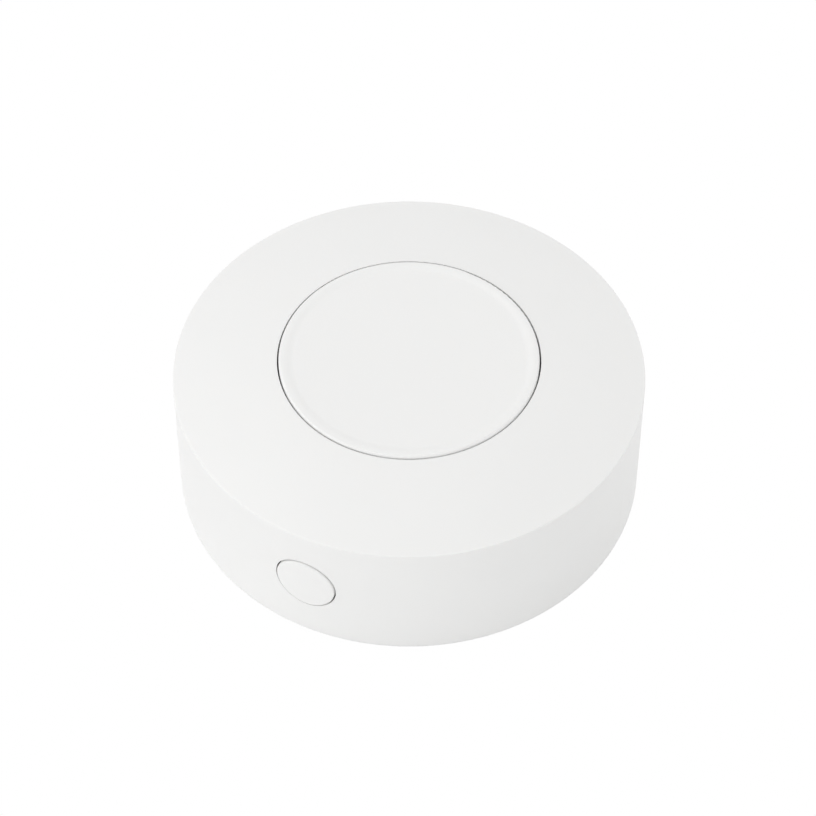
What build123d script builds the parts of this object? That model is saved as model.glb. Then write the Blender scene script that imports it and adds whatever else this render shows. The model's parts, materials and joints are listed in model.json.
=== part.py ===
from build123d import *
import os
from math import pi, sqrt

# A round wireless button for a table or a wall: a broad top button in a crowned surround,
# a small service button in the side wall, and a coin cell behind a twist-off cover.
# All lengths are in millimetres and all angles in degrees. +Z is up, the origin is the
# middle of the face that the part rests on, and the side button faces -Y.

os.makedirs("parts", exist_ok=True)

# Case
case_diameter = 45.0
wall_thickness = 1.8
crown_radius = 65.0             # the surround's section is an arc this large
crown_offset = 6.1              # from the case's axis to the centre of that arc
crown_thickness = 1.7
shoulder_fillet = 0.1
foot_fillet = 0.25
collar_depth = 4.0              # from the surround's inner edge down to the collar's end
collar_wall = 1.2

# Main button
main_button_diameter = 24.8
main_button_gap = 0.15
cap_rise = 0.18                 # the button's rim stands this far above the surround
cap_thickness = 1.5
cap_edge_fillet = 0.25
dish_depth = 0.12
dish_land = 0.45                # width of the flat rim outside the dish
dish_slope_width = 0.9
skirt_depth = 3.21
skirt_thickness = 1.2
post_length = 2.91
post_radius = 2.0
cap_rib_thickness = 0.8
cap_rib_height = 1.1
hook_height = 0.8
hook_reach = 0.8
hook_lead = 0.35                # chamfer that lets the hook snap in
hook_play = 0.05
hook_pocket_depth = 0.7
hook_slot_height = 1.2

# Side button
side_button_diameter = 5.9
side_button_gap = 0.15
side_button_rise = 0.12         # its face stands this far out of the wall
side_button_fillet = 0.15
side_flange_width = 8.0
side_flange_height = 7.4
side_flange_thickness = 1.2
side_flange_corner = 1.0
side_flange_gap = 0.1
side_stub_width = 2.2
side_stub_height = 1.2
side_stub_length = 1.15
side_guide_gap = 0.2
side_guide_thickness = 1.0
side_guide_depth = 1.4

# Base plate
base_clearance = 0.15
floor_thickness = 1.4
base_rim_height = 1.75
base_rim_thickness = 1.2
standoff_radius = 2.2
track_wall_height = 1.6
track_wall_thickness = 1.0
lock_stop_gap = 0.1
lock_stop_width = 1.0

# Adhesive ring
adhesive_thickness = 0.55
adhesive_recess = 0.2
adhesive_rim = 0.4              # width of base left outside the ring's recess
adhesive_web = 0.8              # width of base between the cover and the ring's recess
adhesive_clearance = 0.15
mark_radius = 0.25
mark_depth = 0.15

# Battery cover
cover_thickness = 1.2
cover_flange_thickness = 0.6
cover_flange_overlap = 1.1      # from the cover's plug out to its flange
cover_gap = 0.15
cover_play = 0.05
cover_edge_fillet = 0.15
cover_plug_wall = 0.8
cover_rib_height = 0.4
cover_rib_radius = 8.0
cover_rib_thickness = 0.8
lug_thickness = 0.7
lug_reach = 0.85
lug_gap = 0.2
coin_slot_length = 14.0
coin_slot_width = 1.8
coin_slot_depth = 0.6

# Coin cell
cell_diameter = 20.0
cell_thickness = 3.2
cell_play = 0.05
cell_rim_drop = 0.3
cell_lip_width = 0.75
cell_gasket_width = 0.5
cell_gasket_drop = 0.2
cell_cap_depth = 0.7
cell_can_fillet = 0.6
cell_cap_fillet = 0.25

# Battery holder and contacts
holder_gap = 0.2
holder_wall = 1.4
holder_height = 2.9
holder_band = 0.35
holder_window = 4.0
holder_peg_radius = 0.6
peg_clearance = 0.1
contact_space = 0.6             # between the cell and the board
contact_thickness = 0.2
contact_width = 3.0
contact_gap = 0.03
positive_foot_length = 1.7
positive_bow = 0.8
positive_bend = 0.3
negative_span = 17.0
negative_foot_length = 2.5
negative_tip_length = 3.0
negative_bend = 1.5

# Main board
board_thickness = 0.8
board_clearance = 0.5
board_edge_gap = 0.9            # from the flat of the board to the side button's flange
board_hole_radius = 1.15

# Main switch
main_switch_height = 5.0        # from the board to the top of the stem
main_switch_width = 6.0
main_switch_corner = 0.4
main_switch_body_height = 3.2
main_switch_floor = 0.6
main_switch_well_radius = 2.6
main_switch_plate = 0.3
main_switch_peg_radius = 0.35
main_switch_peg_spacing = 4.6
main_switch_peg_height = 0.45
main_stem_radius = 1.75
main_stem_nose_radius = 1.0
main_stem_flange_radius = 2.35
main_stem_flange_height = 0.8
main_stem_clearance = 0.1
main_stem_play = 0.05
dome_radius = 2.4
dome_rise = 0.55
dome_thickness = 0.1
stem_gap = 0.05
terminal_width = 0.7
terminal_thickness = 0.2
terminal_spacing = 4.5
terminal_reach = 1.5
terminal_step = 0.5
terminal_foot = 0.7

# Side switch
side_switch_width = 4.7
side_switch_depth = 3.0
side_switch_height = 1.9
side_switch_shell = 0.2
side_switch_flap = 1.0
side_switch_floor = 0.3
side_well_width = 3.2
side_well_depth = 1.7
side_front_wall = 0.5
side_stem_level = 0.85          # middle of the stem above the board
side_stem_width = 2.1
side_stem_height = 0.9
side_stem_reach = 0.6
side_stem_clearance = 0.1
side_shoulder_width = 3.0
side_shoulder_depth = 0.7
side_tab_length = 0.6
side_tab_width = 0.6
side_tab_thickness = 0.15

# Radio module
module_width = 10.0
module_length = 14.0
module_thickness = 0.8
shield_margin = 0.6
shield_length = 9.2
shield_height = 1.6
shield_fillet = 0.3
antenna_line = 0.5
antenna_thickness = 0.1
antenna_height = 2.4
antenna_margin = 0.6

# Small parts on the board
chip_length = 1.6
chip_width = 0.8
capacitor_height = 0.8
resistor_height = 0.45
chip_fillet = 0.08
led_height = 0.6
led_window = 0.7
led_chamfer = 0.15
bulk_length = 3.5
bulk_width = 2.8
bulk_height = 1.9
bulk_fillet = 0.2
transistor_length = 2.9
transistor_width = 1.3
transistor_height = 1.0
transistor_chamfer = 0.12
transistor_pin_width = 0.4
transistor_pin_pitch = 0.95
transistor_pin_reach = 0.55
transistor_pin_thickness = 0.15

# Screws
screw_inset = 2.4               # from the case's inner wall to the screw's axis
screw_radius = 1.0
screw_length = 8.0
screw_tip = 0.6
screw_head_radius = 1.6
screw_head_height = 1.1
screw_head_fillet = 0.25
screw_slot_width = 0.5
screw_slot_length = 2.0
screw_slot_depth = 0.6
screw_seat_depth = 1.8          # from the base's lower face up to the seat of the head
screw_head_clearance = 0.15
screw_clearance = 0.1
boss_radius = 1.9
pilot_radius = 0.8
pilot_extra = 0.5
gusset_thickness = 1.0

# Counts, angles and places
hook_count = 3
hook_angle = 30.0
hook_arc = 16.0
hook_pocket_play = 1.0
hook_slot_arc = 3.0
cap_rib_count = 3
lug_count = 3
lug_angle = 90.0
lug_arc = 24.0
lug_entry_play = 2.0
cover_turn = 30.0
screw_count = 3
screw_angle = 60.0
antenna_runs = 7
capacitor_place_shares = ((-0.33, -0.13), (-0.33, 0.0), (-0.33, 0.13), (0.30, -0.62))
resistor_place_shares = ((-0.64, -0.2), (-0.64, -0.07), (-0.24, -0.62))
led_place_share = (-0.28, 0.61)
bulk_place_share = (-0.56, 0.27)
transistor_place_share = (-0.45, -0.42)
overrun = 1.0                   # how far a cut runs past the face that it goes through

# Levels, from the table up
base_bottom = adhesive_thickness - adhesive_recess
floor_top = base_bottom + floor_thickness
ledge_bottom = base_bottom + cover_flange_thickness + cover_play
lug_bottom = floor_top + cover_play
lug_top = lug_bottom + lug_thickness
cover_inside = base_bottom + cover_thickness
cell_bottom = cover_inside + cover_rib_height + cell_play
cell_top = cell_bottom + cell_thickness
board_bottom = cell_top + contact_space
board_top = board_bottom + board_thickness
main_body_top = board_top + main_switch_body_height
main_stem_top = board_top + main_switch_height
side_button_level = board_top + side_stem_level
post_bottom = main_stem_top + stem_gap
cap_underside = post_bottom + post_length
dish_level = cap_underside + cap_thickness
cap_top = dish_level + dish_depth
opening_level = cap_top - cap_rise
collar_bottom = opening_level - collar_depth
hook_top = collar_bottom + hook_pocket_depth - hook_play
skirt_bottom = cap_top - skirt_depth
screw_seat = base_bottom + screw_seat_depth

# Radii, from the case inwards and from the cell outwards
case_radius = case_diameter / 2
inner_radius = case_radius - wall_thickness
base_radius = inner_radius - base_clearance
board_radius = inner_radius - board_clearance
screw_circle_radius = inner_radius - screw_inset
cap_radius = main_button_diameter / 2
opening_radius = cap_radius + main_button_gap
collar_radius = opening_radius + collar_wall
side_button_radius = side_button_diameter / 2
side_hole_radius = side_button_radius + side_button_gap
cell_radius = cell_diameter / 2
holder_bore = cell_radius + holder_gap
holder_radius = holder_bore + holder_wall
plug_radius = cell_radius + holder_gap + cover_gap + cover_plug_wall
plug_opening = plug_radius + cover_gap
lug_radius = plug_radius + lug_reach
track_radius = lug_radius + lug_gap
cover_radius = plug_radius + cover_flange_overlap
cover_recess_radius = cover_radius + cover_gap
adhesive_inner = cover_recess_radius + adhesive_web
adhesive_outer = base_radius - adhesive_rim

# The side button's stack, as distances from the axis towards -Y
side_flange_front = inner_radius - side_flange_gap
side_flange_back = side_flange_front - side_flange_thickness
side_stub_end = side_flange_back - side_stub_length
side_stem_tip = side_stub_end - stem_gap
side_switch_front = side_stem_tip - side_stem_reach
side_switch_back = side_switch_front - side_switch_depth
board_flat = side_flange_back - board_edge_gap

# The surround's arc passes through the opening's edge and gets steeper towards the shoulder
crown_centre = opening_level - sqrt(crown_radius**2 - (opening_radius - crown_offset)**2)


def crown_level(radius, depth=0.0):
    """Height of the surround at a radius, or of the arc that lies a depth inside it."""
    return crown_centre + sqrt((crown_radius - depth)**2 - (radius - crown_offset)**2)


def ring_profile(inner, outer, bottom, top):
    """The four corners of a ring's section."""
    return (inner, bottom), (outer, bottom), (outer, top), (inner, top)


def ring_block(profile, arc, middle):
    """A stretch of a ring with a section of (radius, height) points, centred on an angle."""
    with BuildPart() as block:
        with BuildSketch(Plane.XZ):
            with BuildLine():
                Polyline(*profile, close=True)
            make_face()
        revolve(axis=Axis.Z, revolution_arc=arc)
    return block.part.rotate(Axis.Z, middle - arc / 2)


def full_circle(edge):
    """Whether an edge is a whole circle, as the rims of a turned shape are."""
    return edge.geom_type == GeomType.CIRCLE and edge.is_closed


def round_of_angles(start, count):
    """Evenly spaced angles about the axis."""
    return [start + number * 360 / count for number in range(count)]


# Top housing: the crowned surround and the side wall in one moulding, with a collar that
# guides the main button, screw bosses and two guides for the side button.
shoulder_level = crown_level(case_radius)
arc_middle = (opening_radius + case_radius) / 2
lining_middle = (collar_radius + inner_radius) / 2
boss_top = crown_level(screw_circle_radius, crown_thickness / 2)
guide_offset = side_flange_width / 2 + side_guide_gap + side_guide_thickness / 2
guide_bottom = floor_top + base_rim_height + side_guide_gap
guide_top = crown_level(inner_radius, crown_thickness / 2)
gusset_middle = (screw_circle_radius + inner_radius) / 2

hook_pocket = ring_profile(
    opening_radius - overrun, collar_radius + overrun,
    collar_bottom - overrun, collar_bottom + hook_pocket_depth,
)
hook_pockets = [
    ring_block(hook_pocket, hook_arc + 2 * hook_pocket_play, angle)
    for angle in round_of_angles(hook_angle, hook_count)
]

with BuildPart() as top_housing:
    with BuildSketch(Plane.XZ):
        with BuildLine():
            Polyline(
                (opening_radius, crown_level(opening_radius)),
                (opening_radius, collar_bottom),
                (collar_radius, collar_bottom),
                (collar_radius, crown_level(collar_radius, crown_thickness)),
            )
            ThreePointArc(
                (collar_radius, crown_level(collar_radius, crown_thickness)),
                (lining_middle, crown_level(lining_middle, crown_thickness)),
                (inner_radius, crown_level(inner_radius, crown_thickness)),
            )
            Polyline(
                (inner_radius, crown_level(inner_radius, crown_thickness)),
                (inner_radius, base_bottom),
                (case_radius, base_bottom),
                (case_radius, shoulder_level),
            )
            ThreePointArc(
                (case_radius, shoulder_level),
                (arc_middle, crown_level(arc_middle)),
                (opening_radius, crown_level(opening_radius)),
            )
        make_face()
    revolve(axis=Axis.Z)
    rims = top_housing.edges().filter_by(full_circle).group_by(SortBy.RADIUS)[-1]
    fillet(rims.sort_by(Axis.Z)[-1], shoulder_fillet)
    rims = top_housing.edges().filter_by(full_circle).group_by(SortBy.RADIUS)[-1]
    fillet(rims.sort_by(Axis.Z)[0], foot_fillet)
    add(hook_pockets, mode=Mode.SUBTRACT)
    # Screw bosses, each tied to the wall by a gusset
    with BuildSketch(Plane.XY.offset(board_top)):
        with PolarLocations(screw_circle_radius, screw_count, start_angle=screw_angle):
            Circle(boss_radius)
        with PolarLocations(gusset_middle, screw_count, start_angle=screw_angle):
            Rectangle(screw_inset + wall_thickness / 2, gusset_thickness)
    extrude(amount=boss_top - board_top)
    with BuildSketch(Plane.XY.offset(board_top)):
        with PolarLocations(screw_circle_radius, screw_count, start_angle=screw_angle):
            Circle(pilot_radius)
    extrude(amount=screw_seat + screw_length + pilot_extra - board_top, mode=Mode.SUBTRACT)
    # Guides on both sides of the side button's flange
    with BuildSketch(Plane.XY.offset(guide_bottom)):
        guide_length = side_guide_depth + wall_thickness / 2
        with Locations((0, -inner_radius + side_guide_depth - guide_length / 2)):
            with GridLocations(2 * guide_offset, guide_length, 2, 1):
                Rectangle(side_guide_thickness, guide_length)
    extrude(amount=guide_top - guide_bottom)
    # Hole for the side button
    with BuildSketch(Plane.XZ.offset(side_flange_back)):
        with Locations((0, side_button_level)):
            Circle(side_hole_radius)
    extrude(amount=case_radius - side_flange_back + overrun, mode=Mode.SUBTRACT)
top_housing.part.label = "top_housing"
export_step(top_housing.part, "parts/top_housing.step")


# Main button: a round cap with a shallow dish, a skirt that runs in the collar, three
# snap hooks that catch under it, and a post that presses the switch.
dish_outer = cap_radius - dish_land
dish_inner = dish_outer - dish_slope_width
dish_middle = (dish_inner + dish_outer) / 2
slope_middle = dish_level + dish_depth / 2
slope_radius = (dish_slope_width**2 + dish_depth**2) / (4 * dish_depth)
skirt_inner = cap_radius - skirt_thickness
hook_bottom = hook_top - hook_height

hook_profile = (
    (skirt_inner, skirt_bottom + hook_slot_height),
    (skirt_inner, hook_bottom),
    (cap_radius, hook_bottom),
    (cap_radius + hook_reach, hook_top - hook_lead),
    (cap_radius + hook_reach, hook_top),
    (cap_radius, hook_top),
    (cap_radius, skirt_bottom + hook_slot_height),
)
slot_profile = ring_profile(
    skirt_inner - overrun, cap_radius + overrun,
    skirt_bottom - overrun, skirt_bottom + hook_slot_height,
)
slot_offset = (hook_arc + hook_slot_arc) / 2
hooks = [ring_block(hook_profile, hook_arc, angle) for angle in round_of_angles(hook_angle, hook_count)]
hook_slots = [
    ring_block(slot_profile, hook_slot_arc, angle + side * slot_offset)
    for angle in round_of_angles(hook_angle, hook_count)
    for side in (-1, 1)
]

with BuildPart() as main_button_cap:
    with BuildSketch(Plane.XZ):
        with BuildLine():
            Line((0, dish_level), (dish_inner, dish_level))
            RadiusArc((dish_inner, dish_level), (dish_middle, slope_middle), -slope_radius)
            RadiusArc((dish_middle, slope_middle), (dish_outer, cap_top), slope_radius)
            Polyline(
                (dish_outer, cap_top),
                (cap_radius, cap_top),
                (cap_radius, skirt_bottom),
                (skirt_inner, skirt_bottom),
                (skirt_inner, cap_underside),
                (0, cap_underside),
                (0, dish_level),
            )
        make_face()
    revolve(axis=Axis.Z)
    rims = main_button_cap.edges().filter_by(full_circle).group_by(SortBy.RADIUS)[-1]
    fillet(rims.sort_by(Axis.Z)[-1], cap_edge_fillet)
    add(hook_slots, mode=Mode.SUBTRACT)
    add(hooks)
    with BuildSketch(Plane.XY.offset(cap_underside)):
        Circle(post_radius)
    extrude(amount=-post_length)
    with BuildSketch(Plane.XY.offset(cap_underside)):
        with PolarLocations(skirt_inner / 2, cap_rib_count, start_angle=hook_angle + 180 / hook_count):
            Rectangle(skirt_inner, cap_rib_thickness)
    extrude(amount=-cap_rib_height)
main_button_cap.part.label = "main_button_cap"
export_step(main_button_cap.part, "parts/main_button_cap.step")


# Side button: its face follows the wall and stands slightly out of it, its flange stays
# behind the wall, and its stub presses the side switch.
with BuildPart() as side_flange:
    with BuildSketch(Plane.XZ.offset(side_flange_back)):
        with Locations((0, side_button_level)):
            RectangleRounded(side_flange_width, side_flange_height, side_flange_corner)
    extrude(amount=side_flange_thickness + overrun)
    with BuildSketch():
        Circle(side_flange_front)
    extrude(amount=cap_top, mode=Mode.INTERSECT)

with BuildPart() as side_button_cap:
    with BuildSketch(Plane.XZ.offset(side_flange_back)):
        with Locations((0, side_button_level)):
            Circle(side_button_radius)
    extrude(amount=case_radius - side_flange_back + overrun)
    with BuildSketch():
        Circle(case_radius + side_button_rise)
    extrude(amount=cap_top, mode=Mode.INTERSECT)
    face = side_button_cap.faces().sort_by(Axis.Y)[0]
    fillet(face.edges(), side_button_fillet)
    add(side_flange.part)
    with BuildSketch(Plane.XZ.offset(side_stub_end)):
        with Locations((0, side_button_level)):
            Rectangle(side_stub_width, side_stub_height)
    extrude(amount=side_stub_length)
side_button_cap.part.label = "side_button_cap"
export_step(side_button_cap.part, "parts/side_button_cap.step")


# Base plate: closes the case from below and carries the board on three standoffs. A
# ledge round its opening holds the battery cover's lugs.
entry_profile = ring_profile(
    plug_opening - overrun, lug_radius + cover_gap, ledge_bottom - cover_play, floor_top + overrun,
)
entries = [
    ring_block(entry_profile, lug_arc + 2 * lug_entry_play, angle - cover_turn)
    for angle in round_of_angles(lug_angle, lug_count)
]
stop_profile = ring_profile(lug_radius - lug_reach / 2, track_radius + lug_gap, floor_top, lug_top)
stop_arc = lock_stop_width / lug_radius * 180 / pi
stop_offset = (lug_arc + stop_arc) / 2 + lock_stop_gap / lug_radius * 180 / pi
lock_stops = [
    ring_block(stop_profile, stop_arc, angle + stop_offset)
    for angle in round_of_angles(lug_angle, lug_count)
]
mark_circle_radius = cover_recess_radius + adhesive_web / 2

with BuildPart() as base_plate:
    with BuildSketch(Plane.XY.offset(base_bottom)):
        Circle(base_radius)
    extrude(amount=floor_thickness)
    with BuildSketch(Plane.XY.offset(floor_top)):
        Circle(base_radius)
        Circle(base_radius - base_rim_thickness, mode=Mode.SUBTRACT)
    extrude(amount=base_rim_height)
    with BuildSketch(Plane.XY.offset(floor_top)):
        Circle(track_radius + track_wall_thickness)
        Circle(track_radius, mode=Mode.SUBTRACT)
    extrude(amount=track_wall_height)
    with BuildSketch(Plane.XY.offset(floor_top)):
        with PolarLocations(screw_circle_radius, screw_count, start_angle=screw_angle):
            Circle(standoff_radius)
    extrude(amount=board_bottom - floor_top)
    # Recesses for the adhesive ring and the cover's flange, and the opening itself
    with BuildSketch(Plane.XY.offset(base_bottom)):
        Circle(adhesive_outer)
        Circle(adhesive_inner, mode=Mode.SUBTRACT)
    extrude(amount=adhesive_recess, mode=Mode.SUBTRACT)
    with BuildSketch(Plane.XY.offset(base_bottom)):
        Circle(cover_recess_radius)
    extrude(amount=ledge_bottom - base_bottom, mode=Mode.SUBTRACT)
    with BuildSketch(Plane.XY.offset(base_bottom)):
        Circle(plug_opening)
    extrude(amount=floor_thickness + overrun, mode=Mode.SUBTRACT)
    add(entries, mode=Mode.SUBTRACT)
    add(lock_stops)
    # Screw holes, counterbored from below
    with Locations(Plane.XY.offset(base_bottom).rotated((180, 0, 0))):
        with PolarLocations(screw_circle_radius, screw_count, start_angle=-screw_angle):
            CounterBoreHole(
                screw_radius + screw_clearance,
                screw_head_radius + screw_head_clearance,
                screw_seat_depth,
                board_bottom,
            )
    # Plain dots beside the cover: the first where its mark stands when locked, the
    # second where it stands when it can be lifted out
    with BuildSketch(Plane.XY.offset(base_bottom)):
        for angle in (lug_angle, lug_angle - cover_turn):
            with PolarLocations(mark_circle_radius, 1, start_angle=angle):
                Circle(mark_radius)
    extrude(amount=mark_depth, mode=Mode.SUBTRACT)
base_plate.part.label = "base_plate"
export_step(base_plate.part, "parts/base_plate.step")


# Battery cover: a flange flush with the base, a plug with three bayonet lugs, a slot for
# a coin, and a round rib that presses the cell home.
lug_profile = ring_profile(plug_radius - cover_plug_wall / 2, lug_radius, lug_bottom, lug_top)
lugs = [ring_block(lug_profile, lug_arc, angle) for angle in round_of_angles(lug_angle, lug_count)]
cover_mark_radius = cover_radius - adhesive_web

with BuildPart() as battery_cover:
    with BuildSketch(Plane.XY.offset(base_bottom)):
        Circle(cover_radius)
    extrude(amount=cover_flange_thickness)
    fillet(battery_cover.edges().group_by(Axis.Z)[0], cover_edge_fillet)
    with BuildSketch(Plane.XY.offset(base_bottom + cover_flange_thickness)):
        Circle(plug_radius)
    extrude(amount=cover_thickness - cover_flange_thickness)
    with BuildSketch(Plane.XY.offset(cover_inside)):
        Circle(plug_radius)
        Circle(plug_radius - cover_plug_wall, mode=Mode.SUBTRACT)
        Circle(cover_rib_radius + cover_rib_thickness / 2)
        Circle(cover_rib_radius - cover_rib_thickness / 2, mode=Mode.SUBTRACT)
    extrude(amount=cover_rib_height)
    with BuildSketch(Plane.XY.offset(cover_inside)):
        Circle(plug_radius)
        Circle(plug_radius - cover_plug_wall, mode=Mode.SUBTRACT)
    extrude(amount=lug_top - cover_inside)
    add(lugs)
    with BuildSketch(Plane.XY.offset(base_bottom)):
        SlotOverall(coin_slot_length, coin_slot_width)
    extrude(amount=coin_slot_depth, mode=Mode.SUBTRACT)
    with BuildSketch(Plane.XY.offset(base_bottom)):
        with PolarLocations(cover_mark_radius, 1, start_angle=lug_angle):
            Circle(mark_radius)
    extrude(amount=mark_depth, mode=Mode.SUBTRACT)
battery_cover.part.label = "battery_cover"
export_step(battery_cover.part, "parts/battery_cover.step")


# Adhesive ring: foam tape that sits in the base's recess and covers the screws.
with BuildPart() as adhesive_ring:
    with BuildSketch():
        Circle(adhesive_outer - adhesive_clearance)
        Circle(adhesive_inner + adhesive_clearance, mode=Mode.SUBTRACT)
    extrude(amount=adhesive_thickness)
adhesive_ring.part.label = "adhesive_ring"
export_step(adhesive_ring.part, "parts/adhesive_ring.step")


# Case screws: three pan-head screws through base and board into the housing's bosses.
with BuildPart() as screw:
    with BuildSketch(Plane.XZ):
        with BuildLine():
            Polyline(
                (0, screw_seat - screw_head_height),
                (screw_head_radius, screw_seat - screw_head_height),
                (screw_head_radius, screw_seat),
                (screw_radius, screw_seat),
                (screw_radius, screw_seat + screw_length - screw_tip),
                (screw_radius / 2, screw_seat + screw_length),
                (0, screw_seat + screw_length),
                close=True,
            )
        make_face()
    revolve(axis=Axis.Z)
    fillet(screw.edges().group_by(Axis.Z)[0], screw_head_fillet)
    with BuildSketch(Plane.XY.offset(screw_seat - screw_head_height)):
        Rectangle(screw_slot_length, screw_slot_width)
        Rectangle(screw_slot_width, screw_slot_length)
    extrude(amount=screw_slot_depth, mode=Mode.SUBTRACT)

with BuildPart() as case_screws:
    with PolarLocations(screw_circle_radius, screw_count, start_angle=screw_angle):
        add(screw.part)
case_screws.part.label = "case_screws"
export_step(case_screws.part, "parts/case_screws.step")


# Main board: round, with a flat beside the side button.
peg_circle_radius = (holder_bore + holder_radius) / 2

with BuildPart() as main_board:
    with BuildSketch(Plane.XY.offset(board_bottom)):
        Circle(board_radius)
        with Locations((0, -board_flat - board_radius)):
            Rectangle(2 * board_radius, 2 * board_radius, mode=Mode.SUBTRACT)
        with PolarLocations(screw_circle_radius, screw_count, start_angle=screw_angle):
            Circle(board_hole_radius, mode=Mode.SUBTRACT)
        with PolarLocations(peg_circle_radius, 2):
            Circle(holder_peg_radius + peg_clearance, mode=Mode.SUBTRACT)
    extrude(amount=board_thickness)
main_board.part.label = "main_board"
export_step(main_board.part, "parts/main_board.step")


# Main switch body: a square moulding with a round well for the dome and the stem.
dome_seat = board_top + main_switch_floor

with BuildPart() as main_switch_body:
    with BuildSketch(Plane.XY.offset(board_top)):
        RectangleRounded(main_switch_width, main_switch_width, main_switch_corner)
    extrude(amount=main_switch_body_height)
    with BuildSketch(Plane.XY.offset(dome_seat)):
        Circle(main_switch_well_radius)
    extrude(amount=main_switch_body_height, mode=Mode.SUBTRACT)
    with BuildSketch(Plane.XY.offset(main_body_top)):
        with GridLocations(main_switch_peg_spacing, main_switch_peg_spacing, 2, 2):
            Circle(main_switch_peg_radius)
    extrude(amount=main_switch_peg_height)
main_switch_body.part.label = "main_switch_body"
export_step(main_switch_body.part, "parts/main_switch_body.step")


# Main switch cover: the metal plate that the body's pegs hold down over the stem.
with BuildPart() as main_switch_cover:
    with BuildSketch(Plane.XY.offset(main_body_top)):
        RectangleRounded(main_switch_width, main_switch_width, main_switch_corner)
        Circle(main_stem_radius + main_stem_clearance, mode=Mode.SUBTRACT)
        with GridLocations(main_switch_peg_spacing, main_switch_peg_spacing, 2, 2):
            Circle(main_switch_peg_radius + peg_clearance, mode=Mode.SUBTRACT)
    extrude(amount=main_switch_plate)
main_switch_cover.part.label = "main_switch_cover"
export_step(main_switch_cover.part, "parts/main_switch_cover.step")


# Main switch dome: the thin metal dome that snaps through when it is pressed.
dome_sphere = (dome_radius**2 + dome_rise**2) / (2 * dome_rise)
dome_centre = dome_seat + dome_rise - dome_sphere
dome_bore_sphere = dome_sphere - dome_thickness
dome_bore_radius = sqrt(dome_bore_sphere**2 - (dome_seat - dome_centre)**2)

with BuildPart() as main_switch_dome:
    with BuildSketch(Plane.XZ):
        with BuildLine():
            RadiusArc((0, dome_seat + dome_rise), (dome_radius, dome_seat), dome_sphere)
            Line((dome_radius, dome_seat), (dome_bore_radius, dome_seat))
            RadiusArc(
                (dome_bore_radius, dome_seat),
                (0, dome_seat + dome_rise - dome_thickness),
                -dome_bore_sphere,
            )
            Line((0, dome_seat + dome_rise - dome_thickness), (0, dome_seat + dome_rise))
        make_face()
    revolve(axis=Axis.Z)
main_switch_dome.part.label = "main_switch_dome"
export_step(main_switch_dome.part, "parts/main_switch_dome.step")


# Main switch stem: a round plunger, kept in the body by its flange.
stem_bottom = dome_seat + dome_rise + stem_gap
flange_top = main_body_top - main_stem_play

with BuildPart() as main_switch_stem:
    with BuildSketch(Plane.XY.offset(stem_bottom)):
        Circle(main_stem_nose_radius)
    extrude(amount=flange_top - stem_bottom)
    with BuildSketch(Plane.XY.offset(flange_top)):
        Circle(main_stem_flange_radius)
    extrude(amount=-main_stem_flange_height)
    with BuildSketch(Plane.XY.offset(flange_top)):
        Circle(main_stem_radius)
    extrude(amount=main_stem_top - flange_top)
main_switch_stem.part.label = "main_switch_stem"
export_step(main_switch_stem.part, "parts/main_switch_stem.step")


# Main switch terminals: four strips, bent from the body's sides down to the board.
terminal_start = main_switch_width / 2
terminal_line_foot = board_top + terminal_thickness / 2
terminal_line_top = terminal_line_foot + terminal_step
terminal_end = terminal_start + terminal_reach

with BuildPart() as terminal:
    with BuildSketch(Plane.YZ):
        with BuildLine():
            FilletPolyline(
                (terminal_start, terminal_line_top),
                (terminal_end - terminal_foot, terminal_line_top),
                (terminal_end - terminal_foot, terminal_line_foot),
                (terminal_end, terminal_line_foot),
                radius=terminal_thickness,
            )
        trace(line_width=terminal_thickness)
    extrude(amount=terminal_width / 2, both=True)

with BuildPart() as main_switch_terminals:
    with GridLocations(terminal_spacing, 0, 2, 1):
        add(terminal.part)
    mirror(about=Plane.XZ)
main_switch_terminals.part.label = "main_switch_terminals"
export_step(main_switch_terminals.part, "parts/main_switch_terminals.step")


# Side switch body: a small moulding, open towards the wall and at the top.
side_body_top = board_top + side_switch_height - side_switch_shell
side_well_front = side_switch_front - side_front_wall

with BuildPart() as side_switch_body:
    with BuildSketch(Plane.XY.offset(board_top)):
        with Locations((0, -(side_switch_front + side_switch_back) / 2)):
            Rectangle(side_switch_width, side_switch_depth)
    extrude(amount=side_body_top - board_top)
    with BuildSketch(Plane.XY.offset(board_top + side_switch_floor)):
        with Locations((0, -side_well_front + side_well_depth / 2)):
            Rectangle(side_well_width, side_well_depth)
        with Locations((0, -side_switch_front)):
            Rectangle(side_stem_width + 2 * side_stem_clearance, 2 * side_front_wall)
    extrude(amount=side_switch_height, mode=Mode.SUBTRACT)
side_switch_body.part.label = "side_switch_body"
export_step(side_switch_body.part, "parts/side_switch_body.step")


# Side switch cover: a thin metal shell over the body's top and sides.
shell_width = side_switch_width + 2 * side_switch_shell

with BuildPart() as side_switch_cover:
    with BuildSketch(Plane.XY.offset(side_body_top - side_switch_flap)):
        with Locations((0, -(side_switch_front + side_switch_back) / 2)):
            Rectangle(shell_width, side_switch_depth)
    extrude(amount=side_switch_flap + side_switch_shell)
    with BuildSketch(Plane.XY.offset(side_body_top - side_switch_flap)):
        with Locations((0, -(side_switch_front + side_switch_back) / 2)):
            Rectangle(side_switch_width, 2 * side_switch_depth)
    extrude(amount=side_switch_flap, mode=Mode.SUBTRACT)
side_switch_cover.part.label = "side_switch_cover"
export_step(side_switch_cover.part, "parts/side_switch_cover.step")


# Side switch stem: a flat tongue with a shoulder behind the body's front wall.
tongue_back = side_well_front - side_shoulder_depth

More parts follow.
